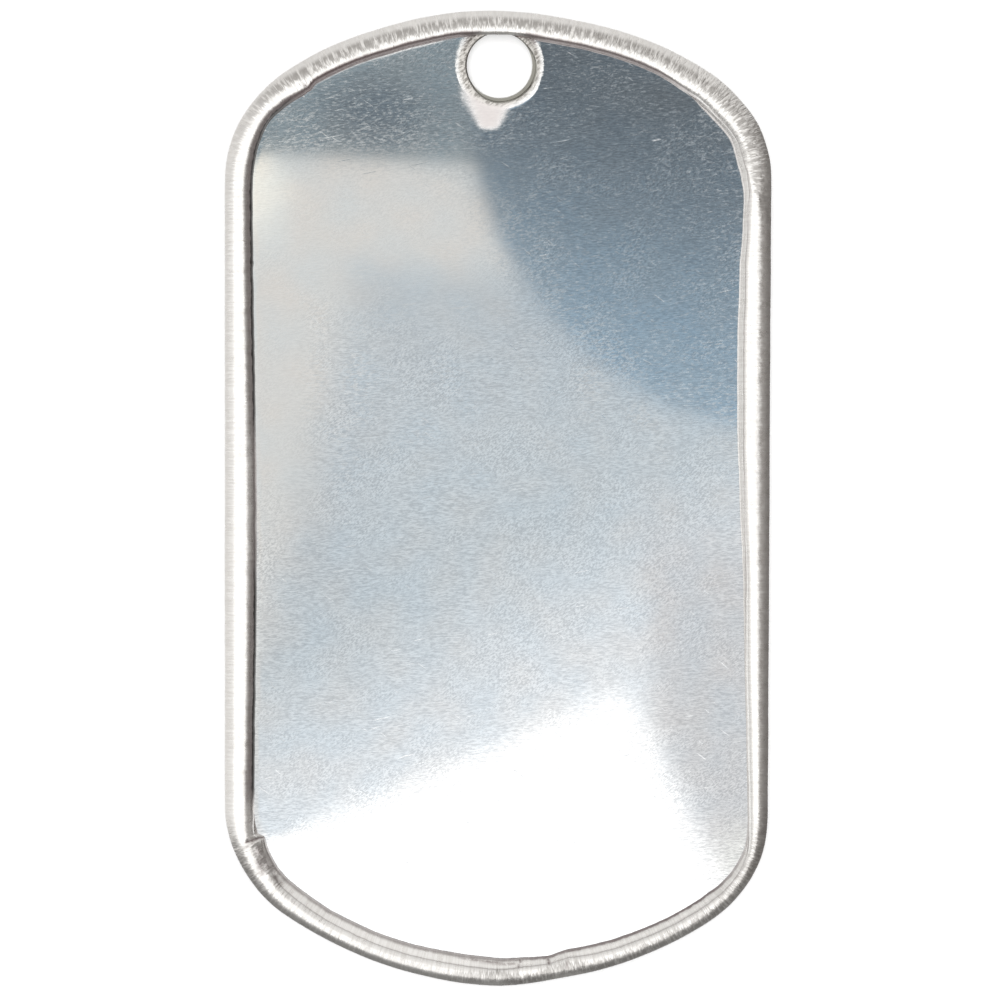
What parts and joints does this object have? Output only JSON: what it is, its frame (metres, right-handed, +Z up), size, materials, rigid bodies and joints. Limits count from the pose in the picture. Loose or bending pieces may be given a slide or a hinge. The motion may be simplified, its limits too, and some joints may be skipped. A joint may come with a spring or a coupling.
{
  "type": "identification dog tag",
  "caption": "Blank rounded identification tag of thin steel sheet with a rolled-over hollow rim and a punched hole at one end for a chain.",
  "frame": {"origin": "on the surface the tag lies on, under the middle of its outline", "axes": "+X across the tag, +Y along it towards the end with the hole, +Z up out of the face that the rim is rolled towards"},
  "size_m": [0.0284, 0.0508, 0.0014],
  "materials": {
    "steel": "satin rolled sheet with fine scratches"
  },
  "bodies": {
    "root": {"tag": "steel"}
  },
  "joints": []
}
